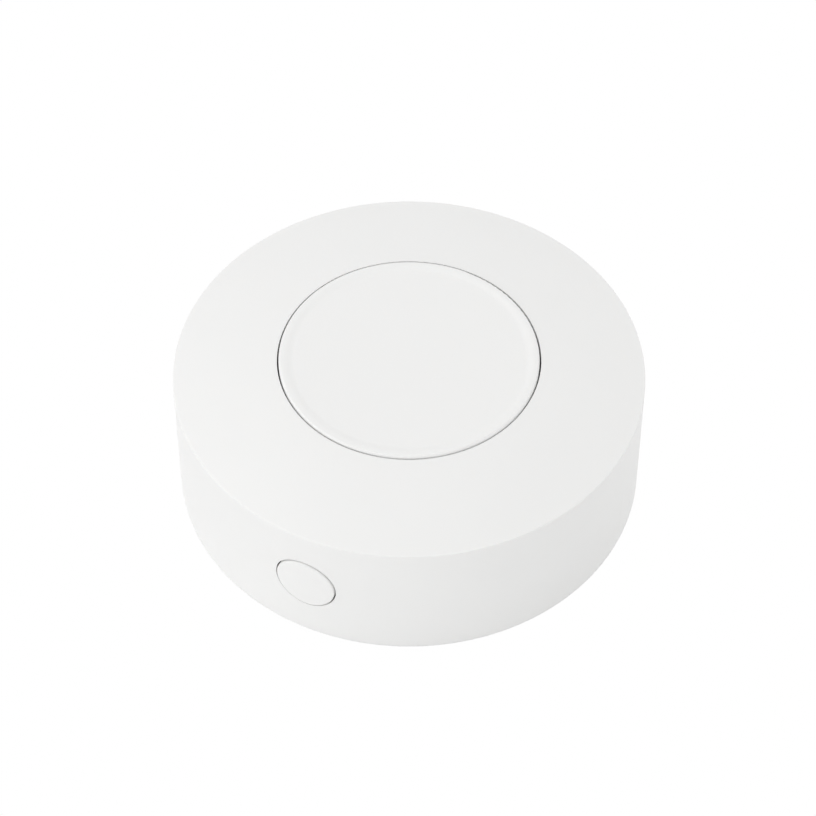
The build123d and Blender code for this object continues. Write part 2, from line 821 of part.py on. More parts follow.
with BuildPart() as side_switch_stem:
    with BuildSketch(Plane.XZ.offset(tongue_back)):
        with Locations((0, side_button_level)):
            Rectangle(side_stem_width, side_stem_height)
    extrude(amount=side_stem_tip - tongue_back)
    with BuildSketch(Plane.XZ.offset(tongue_back)):
        with Locations((0, side_button_level)):
            Rectangle(side_shoulder_width, side_stem_height)
    extrude(amount=side_shoulder_depth - main_stem_play)
side_switch_stem.part.label = "side_switch_stem"
export_step(side_switch_stem.part, "parts/side_switch_stem.step")


# Side switch terminals: four tabs on the board, beside the body.
tab_spacing = side_switch_width + side_tab_length
tab_pitch = side_switch_depth / 2

with BuildPart() as side_switch_terminals:
    with BuildSketch(Plane.XY.offset(board_top)):
        with Locations((0, -(side_switch_front + side_switch_back) / 2)):
            with GridLocations(tab_spacing, tab_pitch, 2, 2):
                Rectangle(side_tab_length, side_tab_width)
    extrude(amount=side_tab_thickness)
side_switch_terminals.part.label = "side_switch_terminals"
export_step(side_switch_terminals.part, "parts/side_switch_terminals.step")


# Radio module: a small board between the main switch and the edge, with a metal shield
# over the radio and a printed antenna at its free end.
module_far_edge = sqrt(board_radius**2 - (module_length / 2)**2)
module_x = (main_switch_width / 2 + module_far_edge) / 2
module_top = board_top + module_thickness
shield_y = -module_length / 2 + shield_margin + shield_length / 2
shield_width = module_width - 2 * shield_margin

with BuildPart() as radio_module_board:
    with BuildSketch(Plane.XY.offset(board_top)):
        with Locations((module_x, 0)):
            Rectangle(module_width, module_length)
    extrude(amount=module_thickness)
radio_module_board.part.label = "radio_module_board"
export_step(radio_module_board.part, "parts/radio_module_board.step")

with BuildPart() as radio_module_shield:
    with BuildSketch(Plane.XY.offset(module_top)):
        with Locations((module_x, shield_y)):
            Rectangle(shield_width, shield_length)
    extrude(amount=shield_height)
    fillet(radio_module_shield.edges().filter_by(Axis.Z), shield_fillet)
    fillet(radio_module_shield.faces().sort_by(Axis.Z)[-1].edges(), shield_fillet)
radio_module_shield.part.label = "radio_module_shield"
export_step(radio_module_shield.part, "parts/radio_module_shield.step")

antenna_left = module_x - module_width / 2 + antenna_margin
antenna_pitch = (module_width - 2 * antenna_margin) / antenna_runs
antenna_far = module_length / 2 - antenna_margin
antenna_near = antenna_far - antenna_height
antenna_points = []
for run in range(antenna_runs + 1):
    x = antenna_left + run * antenna_pitch
    ends = (antenna_near, antenna_far) if run % 2 == 0 else (antenna_far, antenna_near)
    antenna_points += [(x, ends[0]), (x, ends[1])]

with BuildPart() as radio_module_antenna:
    with BuildSketch(Plane.XY.offset(module_top)):
        with BuildLine():
            Polyline(*antenna_points)
        trace(line_width=antenna_line)
    extrude(amount=antenna_thickness)
radio_module_antenna.part.label = "radio_module_antenna"
export_step(radio_module_antenna.part, "parts/radio_module_antenna.step")


def board_places(shares):
    """Places on the board, from shares of its radius."""
    return [(across * board_radius, along * board_radius) for across, along in shares]


# Chip capacitors and chip resistors: small ceramic blocks soldered to the board.
with BuildPart() as chip_capacitors:
    with BuildSketch(Plane.XY.offset(board_top)):
        with Locations(*board_places(capacitor_place_shares)):
            RectangleRounded(chip_length, chip_width, chip_fillet)
    extrude(amount=capacitor_height)
chip_capacitors.part.label = "chip_capacitors"
export_step(chip_capacitors.part, "parts/chip_capacitors.step")

with BuildPart() as chip_resistors:
    with BuildSketch(Plane.XY.offset(board_top)):
        with Locations(*board_places(resistor_place_shares)):
            RectangleRounded(chip_length, chip_width, chip_fillet)
    extrude(amount=resistor_height)
chip_resistors.part.label = "chip_resistors"
export_step(chip_resistors.part, "parts/chip_resistors.step")


# Status light: a chip with a clear block that is bevelled all round.
with BuildPart() as status_led:
    with BuildSketch(Plane.XY.offset(board_top)):
        with Locations(*board_places([led_place_share])):
            Rectangle(chip_length, chip_width)
    extrude(amount=led_height / 2)
    with BuildSketch(Plane.XY.offset(board_top + led_height / 2)):
        with Locations(*board_places([led_place_share])):
            Rectangle(led_window, chip_width)
    extrude(amount=led_height / 2)
    chamfer(status_led.faces().sort_by(Axis.Z)[-1].edges(), led_chamfer)
status_led.part.label = "status_led"
export_step(status_led.part, "parts/status_led.step")


# Bulk capacitor: carries the radio's short bursts, which a coin cell can't.
with BuildPart() as bulk_capacitor:
    with BuildSketch(Plane.XY.offset(board_top)):
        with Locations(*board_places([bulk_place_share])):
            Rectangle(bulk_length, bulk_width)
    extrude(amount=bulk_height)
    fillet(bulk_capacitor.faces().sort_by(Axis.Z)[-1].edges(), bulk_fillet)
bulk_capacitor.part.label = "bulk_capacitor"
export_step(bulk_capacitor.part, "parts/bulk_capacitor.step")


# Polarity transistor: guards the radio against a cell put in upside down.
transistor_x, transistor_y = board_places([transistor_place_share])[0]
pin_spread = transistor_width + transistor_pin_reach

with BuildPart() as polarity_transistor:
    with BuildSketch(Plane.XY.offset(board_top)):
        with Locations((transistor_x, transistor_y)):
            Rectangle(transistor_length, transistor_width)
    extrude(amount=transistor_height)
    chamfer(polarity_transistor.faces().sort_by(Axis.Z)[-1].edges(), transistor_chamfer)
    with BuildSketch(Plane.XY.offset(board_top)):
        with Locations((transistor_x, transistor_y + pin_spread / 2)):
            Rectangle(transistor_pin_width, transistor_pin_reach)
        with Locations((transistor_x, transistor_y - pin_spread / 2)):
            with GridLocations(2 * transistor_pin_pitch, 0, 2, 1):
                Rectangle(transistor_pin_width, transistor_pin_reach)
    extrude(amount=transistor_pin_thickness)
polarity_transistor.part.label = "polarity_transistor"
export_step(polarity_transistor.part, "parts/polarity_transistor.step")


# Battery holder: a ring under the board, with a window at each side contact and two pegs
# through the board.
with BuildPart() as battery_holder:
    with BuildSketch(Plane.XY.offset(board_bottom)):
        Circle(holder_radius)
        Circle(holder_bore, mode=Mode.SUBTRACT)
    extrude(amount=-holder_height)
    with BuildSketch(Plane.XY.offset(board_bottom)):
        Rectangle(holder_window, 2 * holder_radius + overrun)
    extrude(amount=-(holder_height - holder_band), mode=Mode.SUBTRACT)
    with BuildSketch(Plane.XY.offset(board_bottom)):
        with PolarLocations(peg_circle_radius, 2):
            Circle(holder_peg_radius)
    extrude(amount=board_thickness)
battery_holder.part.label = "battery_holder"
export_step(battery_holder.part, "parts/battery_holder.step")


# Positive contacts: two bowed strips that grip the cell's side through the windows.
strip_top = board_bottom - contact_thickness / 2
strip_bow = cell_radius + cell_play + contact_thickness / 2
strip_root = strip_bow + positive_bow
strip_bottom = board_bottom - holder_height + holder_band + contact_thickness
strip_middle = (strip_top + strip_bottom) / 2

with BuildPart() as positive_contacts:
    with BuildSketch(Plane.YZ):
        with BuildLine():
            FilletPolyline(
                (strip_root + positive_foot_length, strip_top),
                (strip_root, strip_top),
                (strip_bow, strip_middle),
                (strip_root - positive_bow / 2, strip_bottom),
                radius=positive_bend,
            )
        trace(line_width=contact_thickness)
    extrude(amount=contact_width / 2, both=True)
    mirror(about=Plane.XZ)
positive_contacts.part.label = "positive_contacts"
export_step(positive_contacts.part, "parts/positive_contacts.step")


# Negative contact: a leaf under the board that bows down onto the cell's cap.
leaf_tip = cell_top + contact_gap + contact_thickness / 2
leaf_foot = negative_span / 2 - negative_foot_length
leaf_half_points = (
    (negative_span / 2, strip_top),
    (leaf_foot, strip_top),
    (negative_tip_length / 2, leaf_tip),
)
leaf_points = [*leaf_half_points, *[(-along, level) for along, level in reversed(leaf_half_points)]]

with BuildPart() as negative_contact:
    with BuildSketch(Plane.XZ):
        with BuildLine():
            FilletPolyline(*leaf_points, radius=negative_bend)
        trace(line_width=contact_thickness)
    extrude(amount=contact_width / 2, both=True)
negative_contact.part.label = "negative_contact"
export_step(negative_contact.part, "parts/negative_contact.step")


# Coin cell: a steel can that is the positive side, a sealing ring, and the cap that is
# the negative side and faces the board.
can_top = cell_top - cell_rim_drop
cap_seat = cell_top - cell_cap_depth
lip_radius = cell_radius - cell_lip_width
cell_cap_radius = lip_radius - cell_gasket_width

with BuildPart() as coin_cell_can:
    with BuildSketch(Plane.XY.offset(cell_bottom)):
        Circle(cell_radius)
    extrude(amount=can_top - cell_bottom)
    fillet(coin_cell_can.edges().group_by(Axis.Z)[0], cell_can_fillet)
    fillet(coin_cell_can.edges().group_by(Axis.Z)[-1], cell_can_fillet)
    with BuildSketch(Plane.XY.offset(cap_seat)):
        Circle(lip_radius)
    extrude(amount=cell_cap_depth, mode=Mode.SUBTRACT)
coin_cell_can.part.label = "coin_cell_can"
export_step(coin_cell_can.part, "parts/coin_cell_can.step")

with BuildPart() as coin_cell_gasket:
    with BuildSketch(Plane.XY.offset(cap_seat)):
        Circle(lip_radius)
        Circle(cell_cap_radius, mode=Mode.SUBTRACT)
    extrude(amount=cell_cap_depth - cell_gasket_drop)
coin_cell_gasket.part.label = "coin_cell_gasket"
export_step(coin_cell_gasket.part, "parts/coin_cell_gasket.step")

with BuildPart() as coin_cell_cap:
    with BuildSketch(Plane.XY.offset(cap_seat)):
        Circle(cell_cap_radius)
    extrude(amount=cell_cap_depth)
    fillet(coin_cell_cap.edges().group_by(Axis.Z)[-1], cell_cap_fillet)
coin_cell_cap.part.label = "coin_cell_cap"
export_step(coin_cell_cap.part, "parts/coin_cell_cap.step")

print("Overall height", round(cap_top, 3), "and wall height", round(shoulder_level - base_bottom, 3))
print("Side button level", round(side_button_level, 3), "in a case", case_diameter, "across")
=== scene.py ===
# %% [markdown]
# # A smart button, dressed around its CAD frame
# The real object is a round wireless button: a white moulded case 45 mm across, a broad thumb
# button in its top, a small service button in its side wall and a battery cover underneath. The CAD
# model already has every rigid shape, so this script keeps those shapes, gives each one the finish
# of its real material, and models what CAD leaves plain: the foam tape, the screws and the board's
# details.

# %% Load the frame
import json
import math

import bpy
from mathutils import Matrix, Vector


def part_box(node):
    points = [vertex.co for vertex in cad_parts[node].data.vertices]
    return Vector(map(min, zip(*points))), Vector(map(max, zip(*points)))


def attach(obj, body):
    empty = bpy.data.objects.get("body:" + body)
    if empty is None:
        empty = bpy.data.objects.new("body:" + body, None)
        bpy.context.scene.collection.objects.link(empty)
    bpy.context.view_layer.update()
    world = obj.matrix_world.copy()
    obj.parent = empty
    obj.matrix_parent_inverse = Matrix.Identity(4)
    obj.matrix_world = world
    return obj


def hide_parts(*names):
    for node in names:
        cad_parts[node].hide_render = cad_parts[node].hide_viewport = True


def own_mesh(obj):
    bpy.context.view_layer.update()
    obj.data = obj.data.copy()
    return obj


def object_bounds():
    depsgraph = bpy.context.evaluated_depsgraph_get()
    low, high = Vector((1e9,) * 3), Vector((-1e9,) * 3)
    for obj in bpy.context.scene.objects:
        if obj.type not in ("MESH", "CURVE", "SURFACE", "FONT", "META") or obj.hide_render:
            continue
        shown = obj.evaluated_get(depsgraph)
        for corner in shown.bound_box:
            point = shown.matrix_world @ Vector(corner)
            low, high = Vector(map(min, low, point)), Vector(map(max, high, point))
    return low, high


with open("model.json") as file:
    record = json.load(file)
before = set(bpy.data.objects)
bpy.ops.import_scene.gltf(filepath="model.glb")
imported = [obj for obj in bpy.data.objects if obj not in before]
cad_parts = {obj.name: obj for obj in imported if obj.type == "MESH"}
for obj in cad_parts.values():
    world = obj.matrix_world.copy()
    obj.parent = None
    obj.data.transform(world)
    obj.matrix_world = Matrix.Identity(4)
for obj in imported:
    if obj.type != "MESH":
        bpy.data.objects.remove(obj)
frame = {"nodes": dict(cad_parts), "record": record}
cad_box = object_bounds()
MM = 0.001
print("CAD box in mm:", [[round(v / MM, 2) for v in corner] for corner in cad_box])

# %% [markdown]
# ## The camera
# The picture was taken from in front and above, a little to the right of the service button. The
# camera stands 13 case radii away, 50.6 degrees above the floor. It could be shifted to frame the
# object as the picture does, but a small tilt and a step of 0.1 mm to the left do the same, and
# leave the lens unshifted for other views.

# %% Place the camera
CASE_RADIUS = (cad_box[1].x - cad_box[0].x) / 2
CAMERA_TURN = math.radians(25.42)      # to the right of the front
CAMERA_RISE = math.radians(50.59)
CAMERA_DISTANCE = 13 * CASE_RADIUS
CAMERA_TARGET_HEIGHT = 0.35 * MM       # the foot of the case wall
CAMERA_ASIDE = -0.1 * MM               # to the right of the case's axis
FRAME_PIXELS = 816
FOCAL_PIXELS = 2957
TILT_PIXELS = 54.4
SENSOR_WIDTH = 36                      # mm
NEAREST, FURTHEST = 0.01, 10           # metres between which the camera sees

camera_data = bpy.data.cameras.new("camera")
camera_data.sensor_width = SENSOR_WIDTH
camera_data.lens = FOCAL_PIXELS / FRAME_PIXELS * SENSOR_WIDTH
camera_data.clip_start = NEAREST
camera_data.clip_end = FURTHEST
camera = bpy.data.objects.new("camera", camera_data)
bpy.context.scene.collection.objects.link(camera)


def direction(turn, rise):
    """The unit vector towards a place seen at that turn to the right of the front and that rise."""
    return Vector((math.cos(rise) * math.sin(turn), -math.cos(rise) * math.cos(turn),
                   math.sin(rise)))


camera.location = direction(CAMERA_TURN, CAMERA_RISE) * CAMERA_DISTANCE
camera.location.z += CAMERA_TARGET_HEIGHT
camera.location += direction(CAMERA_TURN + math.pi / 2, 0) * CAMERA_ASIDE
tilt = math.atan(TILT_PIXELS / FOCAL_PIXELS)
camera.rotation_euler = (math.pi / 2 - CAMERA_RISE + tilt, 0, CAMERA_TURN)
bpy.context.scene.camera = camera
print("camera at", [round(v, 3) for v in camera.location],
      "lens", round(camera_data.lens, 1), "mm")

# %% [markdown]
# ## Node materials
# Every finish below is a small node tree. Pictures could be wrapped round the parts instead, but a
# pattern that nodes work out stays sharp from any distance. One function adds a node with its
# settings and links, and another turns the sRGB hex colours that a designer writes into the linear
# numbers that the renderer works in. Patterns read Object coordinates, which are metres here, so a
# pattern's scale is one metre divided by the real size of its grain.

# %% Colour and node helpers
def linear(hex_colour):
    """An sRGB hex colour as a linear RGBA tuple."""
    values = [int(hex_colour[i:i + 2], 16) / 255 for i in (1, 3, 5)]
    return (*[v / 12.92 if v <= 0.04045 else ((v + 0.055) / 1.055) ** 2.4 for v in values], 1.0)


def add_node(tree, kind, values=None, links=None, **settings):
    """A new node with its settings, its sockets' values and the sockets that feed it."""
    node = tree.nodes.new(kind)
    for name, value in settings.items():
        setattr(node, name, value)
    for name, value in (values or {}).items():
        node.inputs[name].default_value = value
    for name, source in (links or {}).items():
        tree.links.new(source, node.inputs[name])
    return node


def new_material(name, **values):
    """A material with a Principled shader set to these values, its tree and Object coordinates."""
    material = bpy.data.materials.new(name)
    material.use_nodes = True
    tree = material.node_tree
    tree.nodes.clear()
    shader = add_node(tree, "ShaderNodeBsdfPrincipled", values)
    add_node(tree, "ShaderNodeOutputMaterial", links={"Surface": shader.outputs[0]})
    place = add_node(tree, "ShaderNodeTexCoord").outputs["Object"]
    return material, tree, shader, place


print("white #EFEFEE is linear", [round(v, 3) for v in linear("#EFEFEE")])

# %% [markdown]
# ## Moulded plastic
# The case, both buttons, the base and the battery cover are ABS, injection moulded in a tool whose
# steel was spark eroded. That leaves a fine satin grain: the plastic shows soft, wide highlights
# and a tone that barely changes. The real grain is about 0.03 mm, far finer than a pixel, so it is
# drawn at 0.12 mm, and very shallow. It could be cut into the mesh, but that would take millions of
# faces, and a bump looks the same. White ABS also lets light in a little way, which fills its
# narrow gaps with light, so it gets a short subsurface depth.

# %% Moulded plastics
GRAIN = 0.12 * MM
GRAIN_STRENGTH = 0.12
FLOW_MARK = 9 * MM                     # how far apart the faint cloudy patches of a moulding are
GLOSS_CHANGE = 0.03                    # how much the roughness changes from patch to patch
LIGHT_DEPTH = 0.6 * MM                 # how far light spreads below a white surface


def moulded(name, colour, cloud_colour, roughness, grain_depth, glow=0.0):
    """A moulded plastic with grain this many mm deep, and faint clouds in its tone and gloss."""
    material, tree, shader, place = new_material(
        name, **{"IOR": 1.53, "Subsurface Weight": glow, "Subsurface Scale": LIGHT_DEPTH,
                 "Subsurface Radius": (1.0, 0.95, 0.9)})
    clouds = add_node(tree, "ShaderNodeTexNoise", {"Scale": 1 / FLOW_MARK, "Detail": 2},
                      {"Vector": place})
    tone = add_node(tree, "ShaderNodeMix", {"A": linear(colour), "B": linear(cloud_colour)},
                    {"Factor": clouds.outputs["Fac"]}, data_type="RGBA")
    gloss = add_node(tree, "ShaderNodeMapRange",
                     {"To Min": roughness - GLOSS_CHANGE, "To Max": roughness + GLOSS_CHANGE},
                     {"Value": clouds.outputs["Fac"]})
    grain = add_node(tree, "ShaderNodeTexNoise", {"Scale": 1 / GRAIN, "Detail": 3},
                     {"Vector": place})
    bump = add_node(tree, "ShaderNodeBump",
                    {"Strength": GRAIN_STRENGTH, "Distance": grain_depth * MM},
                    {"Height": grain.outputs["Fac"]})
    tree.links.new(tone.outputs["Result"], shader.inputs["Base Color"])
    tree.links.new(gloss.outputs["Result"], shader.inputs["Roughness"])
    tree.links.new(bump.outputs["Normal"], shader.inputs["Normal"])
    return material


MOULDED = {                            # name, colour, cloud colour, roughness, grain in mm, glow
    "white_case": ("ABS_white_spark_eroded_case", "#F0F0EF", "#EEEEED", 0.52, 0.01, 0.15),
    "white_button": ("ABS_white_spark_eroded_button", "#F0F0EF", "#EFEFEE", 0.5, 0.008, 0.15),
    "white_base": ("ABS_white_moulded_base", "#ECECEA", "#E9E9E7", 0.5, 0.014, 0.15),
    "white_cover": ("ABS_white_moulded_cover", "#EDEDEB", "#EAEAE8", 0.48, 0.012, 0.15),
    "black_moulding": ("PPA_black_moulded_switch", "#1B1B1C", "#222223", 0.42, 0.012),
    "white_stem": ("PBT_white_moulded_stem", "#DEDDD6", "#D6D5CE", 0.4, 0.008, 0.1),
    "black_stem": ("POM_black_moulded_stem", "#17171A", "#1E1E20", 0.38, 0.008),
    "holder_moulding": ("PBT_black_glass_filled_holder", "#262627", "#303031", 0.55, 0.02),
    "cell_seal": ("PP_translucent_cell_seal", "#C9C8C0", "#BDBCB3", 0.35, 0.006, 0.2),
    "epoxy_black": ("epoxy_black_transfer_moulded", "#2A2A2B", "#313132", 0.6, 0.016),
    "tantalum_case": ("epoxy_ochre_tantalum_case", "#C79A3A", "#BC8F32", 0.45, 0.012),
    "resistor_black": ("glass_black_resistor_coat", "#202022", "#29292A", 0.3, 0.01),
    "chip_ceramic": ("ceramic_fired_capacitor", "#A98A67", "#9C7D5B", 0.5, 0.02),
    "led_clear": ("epoxy_milky_led_lens", "#E9E4C8", "#E2DCB9", 0.25, 0.004, 0.3),
}
finishes = {slot: moulded(*values) for slot, values in MOULDED.items()}
print(len(finishes), "moulded finishes")

# %% [markdown]
# ## Metal
# Tin and zinc plating on steel are bright and slightly cloudy, and so is gold on copper. Rolled
# stainless spring steel has fine lines along the strip, and the cell's nickel-plated steel is drawn
# round and so has rings. Real lines and rings are too fine to show, so they are drawn 0.3 and 0.35
# mm apart. All are the same shader with another pattern that pushes the roughness up and down.
# Metals keep the default IOR, and their colour is what they reflect.

# %% Metals
ONE_WAVE = math.pi / 10                # metres from line to line in a wave texture of scale 1
GLOSSIEST, DULLEST = 0.7, 1.35         # shares of the roughness between which the pattern moves it


def plated(name, colour, roughness, pattern, spacing, relief):
    """A metal whose lines, rings or clouds show in its gloss and its bump, spaced in mm."""
    material, tree, shader, place = new_material(
        name, Metallic=1.0, **{"Base Color": linear(colour)})
    if pattern == "CLOUDS":
        lines = add_node(tree, "ShaderNodeTexNoise", {"Scale": 1 / (spacing * MM), "Detail": 4},
                         {"Vector": place})
    else:
        lines = add_node(tree, "ShaderNodeTexWave",
                         {"Scale": ONE_WAVE / (spacing * MM), "Distortion": 2.5, "Detail": 3,
                          "Detail Scale": 1.5},
                         {"Vector": place}, wave_type=pattern, rings_direction="Z")
    gloss = add_node(tree, "ShaderNodeMapRange",
                     {"To Min": roughness * GLOSSIEST, "To Max": roughness * DULLEST},
                     {"Value": lines.outputs["Fac"]})
    bump = add_node(tree, "ShaderNodeBump", {"Strength": 0.2, "Distance": relief * MM},
                    {"Height": lines.outputs["Fac"]})
    tree.links.new(gloss.outputs["Result"], shader.inputs["Roughness"])
    tree.links.new(bump.outputs["Normal"], shader.inputs["Normal"])
    return material


PLATED = {                             # name, colour, roughness, pattern, spacing and relief in mm
    "steel_screw": ("steel_zinc_plated_screw", "#C3C4C6", 0.3, "CLOUDS", 0.5, 0.004),
    "tinned_steel": ("steel_tin_plated", "#D2D0CA", 0.28, "CLOUDS", 0.8, 0.004),
    "spring_steel": ("steel_rolled_spring", "#BDBCB8", 0.26, "BANDS", 0.3, 0.001),
    "cell_steel": ("steel_nickel_plated_cell", "#C9C6C0", 0.24, "RINGS", 0.35, 0.004),
    "antenna_gold": ("copper_gold_plated", "#E3B95C", 0.3, "CLOUDS", 0.4, 0.003),
}
finishes.update({slot: plated(*values) for slot, values in PLATED.items()})
print("metals:", [m.name for k, m in finishes.items() if "steel" in k or "gold" in k])

# %% [markdown]
# ## Solder mask
# A circuit board is glass cloth in resin, printed with a thin coat of mask that is glossy and
# slightly uneven. The cloth's weave, about 0.5 mm from thread to thread, shows through it as a
# faint relief. Two crossed wave patterns make that weave, and a noise makes the mask's tone a
# little uneven.

# %% Solder masks
CLOTH_PITCH = 0.5 * MM
WEAVE_RELIEF = 0.02 * MM
MASK_CLOUD = 4 * MM                    # how far apart the thin and thick patches of the mask are


def solder_mask(name, colour, thin_colour):
    """A glossy mask over glass cloth: a faint weave in its bump and clouds in its tone."""
    material, tree, shader, place = new_material(
        name, **{"Roughness": 0.34, "Coat Weight": 0.25, "Coat Roughness": 0.2})
    clouds = add_node(tree, "ShaderNodeTexNoise", {"Scale": 1 / MASK_CLOUD, "Detail": 3},
                      {"Vector": place})
    tone = add_node(tree, "ShaderNodeMix", {"A": linear(colour), "B": linear(thin_colour)},
                    {"Factor": clouds.outputs["Fac"]}, data_type="RGBA")
    threads = [add_node(tree, "ShaderNodeTexWave",
                        {"Scale": ONE_WAVE / CLOTH_PITCH, "Distortion": 0.4},
                        {"Vector": place}, bands_direction=axis).outputs["Fac"] for axis in "XY"]
    weave = add_node(tree, "ShaderNodeMath", links={0: threads[0], 1: threads[1]}, operation="ADD")
    bump = add_node(tree, "ShaderNodeBump", {"Strength": 0.25, "Distance": WEAVE_RELIEF},
                    {"Height": weave.outputs[0]})
    tree.links.new(tone.outputs["Result"], shader.inputs["Base Color"])
    tree.links.new(bump.outputs["Normal"], shader.inputs["Normal"])
    return material


finishes["solder_mask"] = solder_mask("glass_epoxy_green_mask", "#0F4A32", "#12503A")
finishes["module_mask"] = solder_mask("glass_epoxy_blue_mask", "#16264D", "#1B2E59")
track_mask = solder_mask("copper_under_green_mask", "#1F6E4B", "#237653")
print("three solder masks")

# %% [markdown]
# ## Foam tape
# The tape under the case is closed-cell foam, cut with a die. Its cells are about 0.2 mm across,
# and a cut edge shows them as pits. Voronoi cells have that round, packed look, so they make its
# bump, and also a painted shade that darkens the middle of each pit.

# %% Foam and its liner
def foam_cells(name, colour, pit_shade_colour, size, depth):
    """A closed-cell foam: rounded pits the size of its cells, with painted shade at their bottoms.
    """
    material, tree, shader, place = new_material(name, Roughness=0.85)
    pits = add_node(tree, "ShaderNodeTexVoronoi", {"Scale": 1 / size}, {"Vector": place})
    # painted shade: the middle of each pit is mixed towards the darker pit colour
    tone = add_node(tree, "ShaderNodeMix", {"A": linear(pit_shade_colour), "B": linear(colour)},
                    {"Factor": pits.outputs["Distance"]}, data_type="RGBA")
    bump = add_node(tree, "ShaderNodeBump", {"Strength": 0.6, "Distance": depth},
                    {"Height": pits.outputs["Distance"]})
    tree.links.new(tone.outputs["Result"], shader.inputs["Base Color"])
    tree.links.new(bump.outputs["Normal"], shader.inputs["Normal"])
    return material


FOAM_CELL, FOAM_PIT = 0.2 * MM, 0.05 * MM
# D8D8D3 is the painted shade at the bottom of the foam's pits
finishes["foam_tape"] = foam_cells("acrylic_foam_closed_cell", "#F1F1EE", "#D8D8D3", FOAM_CELL,
                                   FOAM_PIT)
liner_paper = moulded("paper_siliconised_liner", "#E9E2C9", "#E3DBBF", 0.35, 0.01)
print("foam cells of", round(FOAM_CELL / MM, 2), "mm,", len(finishes), "finishes in all")

# %% [markdown]
# ## Give each CAD node its finish
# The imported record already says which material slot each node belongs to, so the finishes are
# handed out from it. They could be typed in again here, node by node, but then a change in the CAD
# model would have to be made twice.

# %% Paint the nodes
slots = set()
for part in frame["record"]["subparts"]:
    node = frame["nodes"][part["node"]]
    node.data.materials.clear()
    node.data.materials.append(finishes[part["material_slot"]])
    slots.add(part["material_slot"])
print("painted", len(frame["nodes"]), "nodes with", len(slots), "finishes")

# %% [markdown]
# The transistor's node holds its black body and its tinned legs. The legs are all that lies further
# from its long axis than half the body's width, so a comparison on Object coordinates can tell the
# two apart, and the same shader then turns from epoxy to metal.

# %% Tin the transistor's legs
BODY_HALF_WIDTH = 0.66 * MM
TIN_COLOUR = "#D2D0CA"


def tin_beyond(material, middle, half_width):
    """Turns the shader to tinned metal where y is further than half_width from the middle."""
    tree = material.node_tree
    shader = tree.nodes["Principled BSDF"]
    place = tree.nodes["Texture Coordinate"].outputs["Object"]
    y = add_node(tree, "ShaderNodeSeparateXYZ", links={0: place}).outputs["Y"]
    aside = add_node(tree, "ShaderNodeMath", {1: middle}, {0: y}, operation="SUBTRACT")
    away = add_node(tree, "ShaderNodeMath", links={0: aside.outputs[0]}, operation="ABSOLUTE")
    legs = add_node(tree, "ShaderNodeMath", {1: half_width}, {0: away.outputs[0]},
                    operation="GREATER_THAN")
    moulded_tone = shader.inputs["Base Color"].links[0].from_socket
    tone = add_node(tree, "ShaderNodeMix", {"B": linear(TIN_COLOUR)},
                    {"Factor": legs.outputs[0], "A": moulded_tone}, data_type="RGBA")
    tree.links.new(tone.outputs["Result"], shader.inputs["Base Color"])
    tree.links.new(legs.outputs[0], shader.inputs["Metallic"])


low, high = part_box("polarity_transistor")
tin_beyond(finishes["epoxy_black"], (low.y + high.y) / 2, BODY_HALF_WIDTH)
print("legs start", round(BODY_HALF_WIDTH / MM, 2), "mm from the transistor's axis")

# %% [markdown]
# ## Making a piece
# Each new piece is made with the operators that a person would use by hand, in edit mode, so that
# its object stays at the origin and its place is in its mesh. An operator acts on all that is
# selected, so one helper selects just the objects that it is given, and one adds a primitive with
# nothing else selected. Another closes a mesh: it merges what lies double and turns the faces
# outwards. The last one smooths what is round and hands over the finish and the body.

# %% Start and finish a piece
MERGE_DISTANCE = 0.0005 * MM
SMOOTH_BELOW = math.radians(30)        # faces that meet at a smaller angle are shaded as one


def pick(*pieces):
    """Selects these objects and no others, and makes the first one active."""
    bpy.ops.object.select_all(action="DESELECT")
    for piece in pieces:
        piece.select_set(True)
    bpy.context.view_layer.objects.active = pieces[0]


def start(add, **settings):
    """Adds a primitive with nothing else selected, and enters edit mode with all of it selected."""
    bpy.ops.object.select_all(action="DESELECT")
    add(**settings)
    piece = bpy.context.object
    bpy.ops.object.mode_set(mode="EDIT")
    bpy.ops.mesh.select_all(action="SELECT")
    return piece


def close(piece):
    """Merges doubles, turns the faces outwards and leaves edit mode."""
    bpy.ops.mesh.select_all(action="SELECT")
    bpy.ops.mesh.remove_doubles(threshold=MERGE_DISTANCE)
    bpy.ops.mesh.normals_make_consistent(inside=False)
    bpy.ops.object.mode_set(mode="OBJECT")
    return piece


def join(parts, name):
    """Joins finished objects into one, with their places in its mesh."""
    pick(*parts)
    bpy.ops.object.join()
    bpy.ops.object.transform_apply(location=True, rotation=True, scale=True)
    parts[0].name = parts[0].data.name = name
    return parts[0]


def hand_over(piece, name, body, material):
    """Names and smooths a piece, gives it its material and sets it on its body."""
    pick(piece)
    bpy.ops.object.transform_apply(location=True, rotation=True, scale=True)
    bpy.ops.object.shade_smooth_by_angle(angle=SMOOTH_BELOW)
    piece.name = piece.data.name = name
    piece.data.materials.clear()
    piece.data.materials.append(material)
    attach(piece, body)
    print(name, len(piece.data.polygons), "faces")
    return piece


print("faces less than", round(math.degrees(SMOOTH_BELOW)), "degrees apart are smoothed")

# %% [markdown]
# ## The foam tape under the case
# A ring of double-sided foam holds the button to a wall. A die cuts it, which pinches its edges a
# little, and a siliconised paper liner covers its free side until it is stuck up. Both are bodies
# of revolution: their section is a plane with rounded corners, spun once round the case's axis.
# They could be cylinders with a hole cut through, but a spun section needs no cut, and its corners
# are easy to round.

# %% Foam ring and liner
LINER_THICKNESS = 0.06 * MM
FOAM_EDGE = 0.14 * MM
FOAM_SETBACK = 0.08 * MM               # how far the cut foam draws back from its liner
CORNER_STEPS, RING_STEPS = 4, 180


